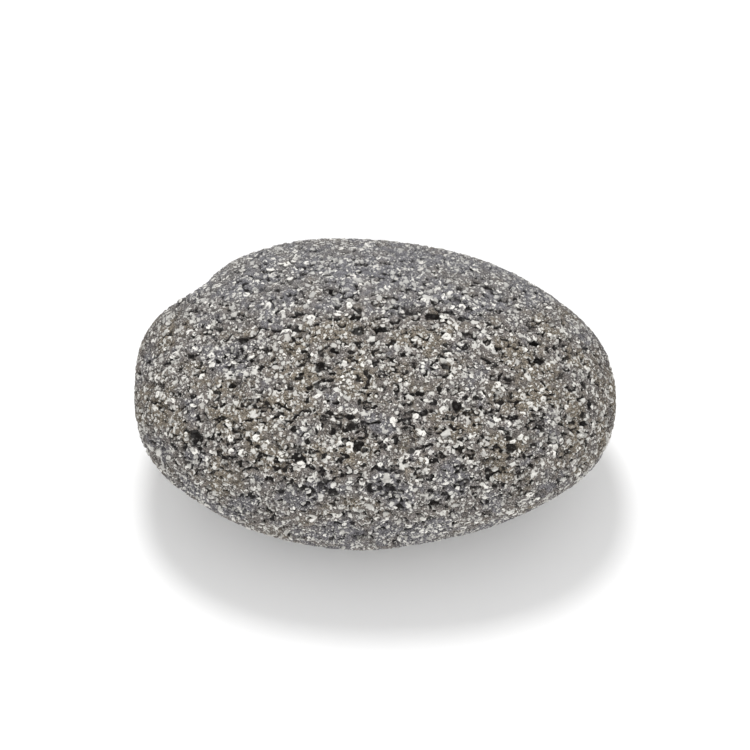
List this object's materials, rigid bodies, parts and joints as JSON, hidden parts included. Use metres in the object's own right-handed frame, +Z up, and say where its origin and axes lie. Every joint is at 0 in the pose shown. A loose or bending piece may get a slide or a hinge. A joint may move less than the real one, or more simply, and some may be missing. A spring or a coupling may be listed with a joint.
{
  "type": "lava rock",
  "caption": "Rounded hand-sized cobble of grey vesicular lava with open pores, pale crystal flecks and a worn hollow in one shoulder; lies on a small flat.",
  "frame": {"origin": "on the resting plane, under the middle of the stone's box", "axes": "+X along the stone's length, to its blunter, lower end; +Y to its back, where the shoulder hollow is at the left; +Z up from the resting flat"},
  "size_m": [0.1, 0.0666, 0.0503],
  "materials": {
    "lava": "rough, dry, open-pored grey lava with cream feldspar flecks"
  },
  "bodies": {
    "root": {"lava_rock": "lava"}
  },
  "joints": []
}
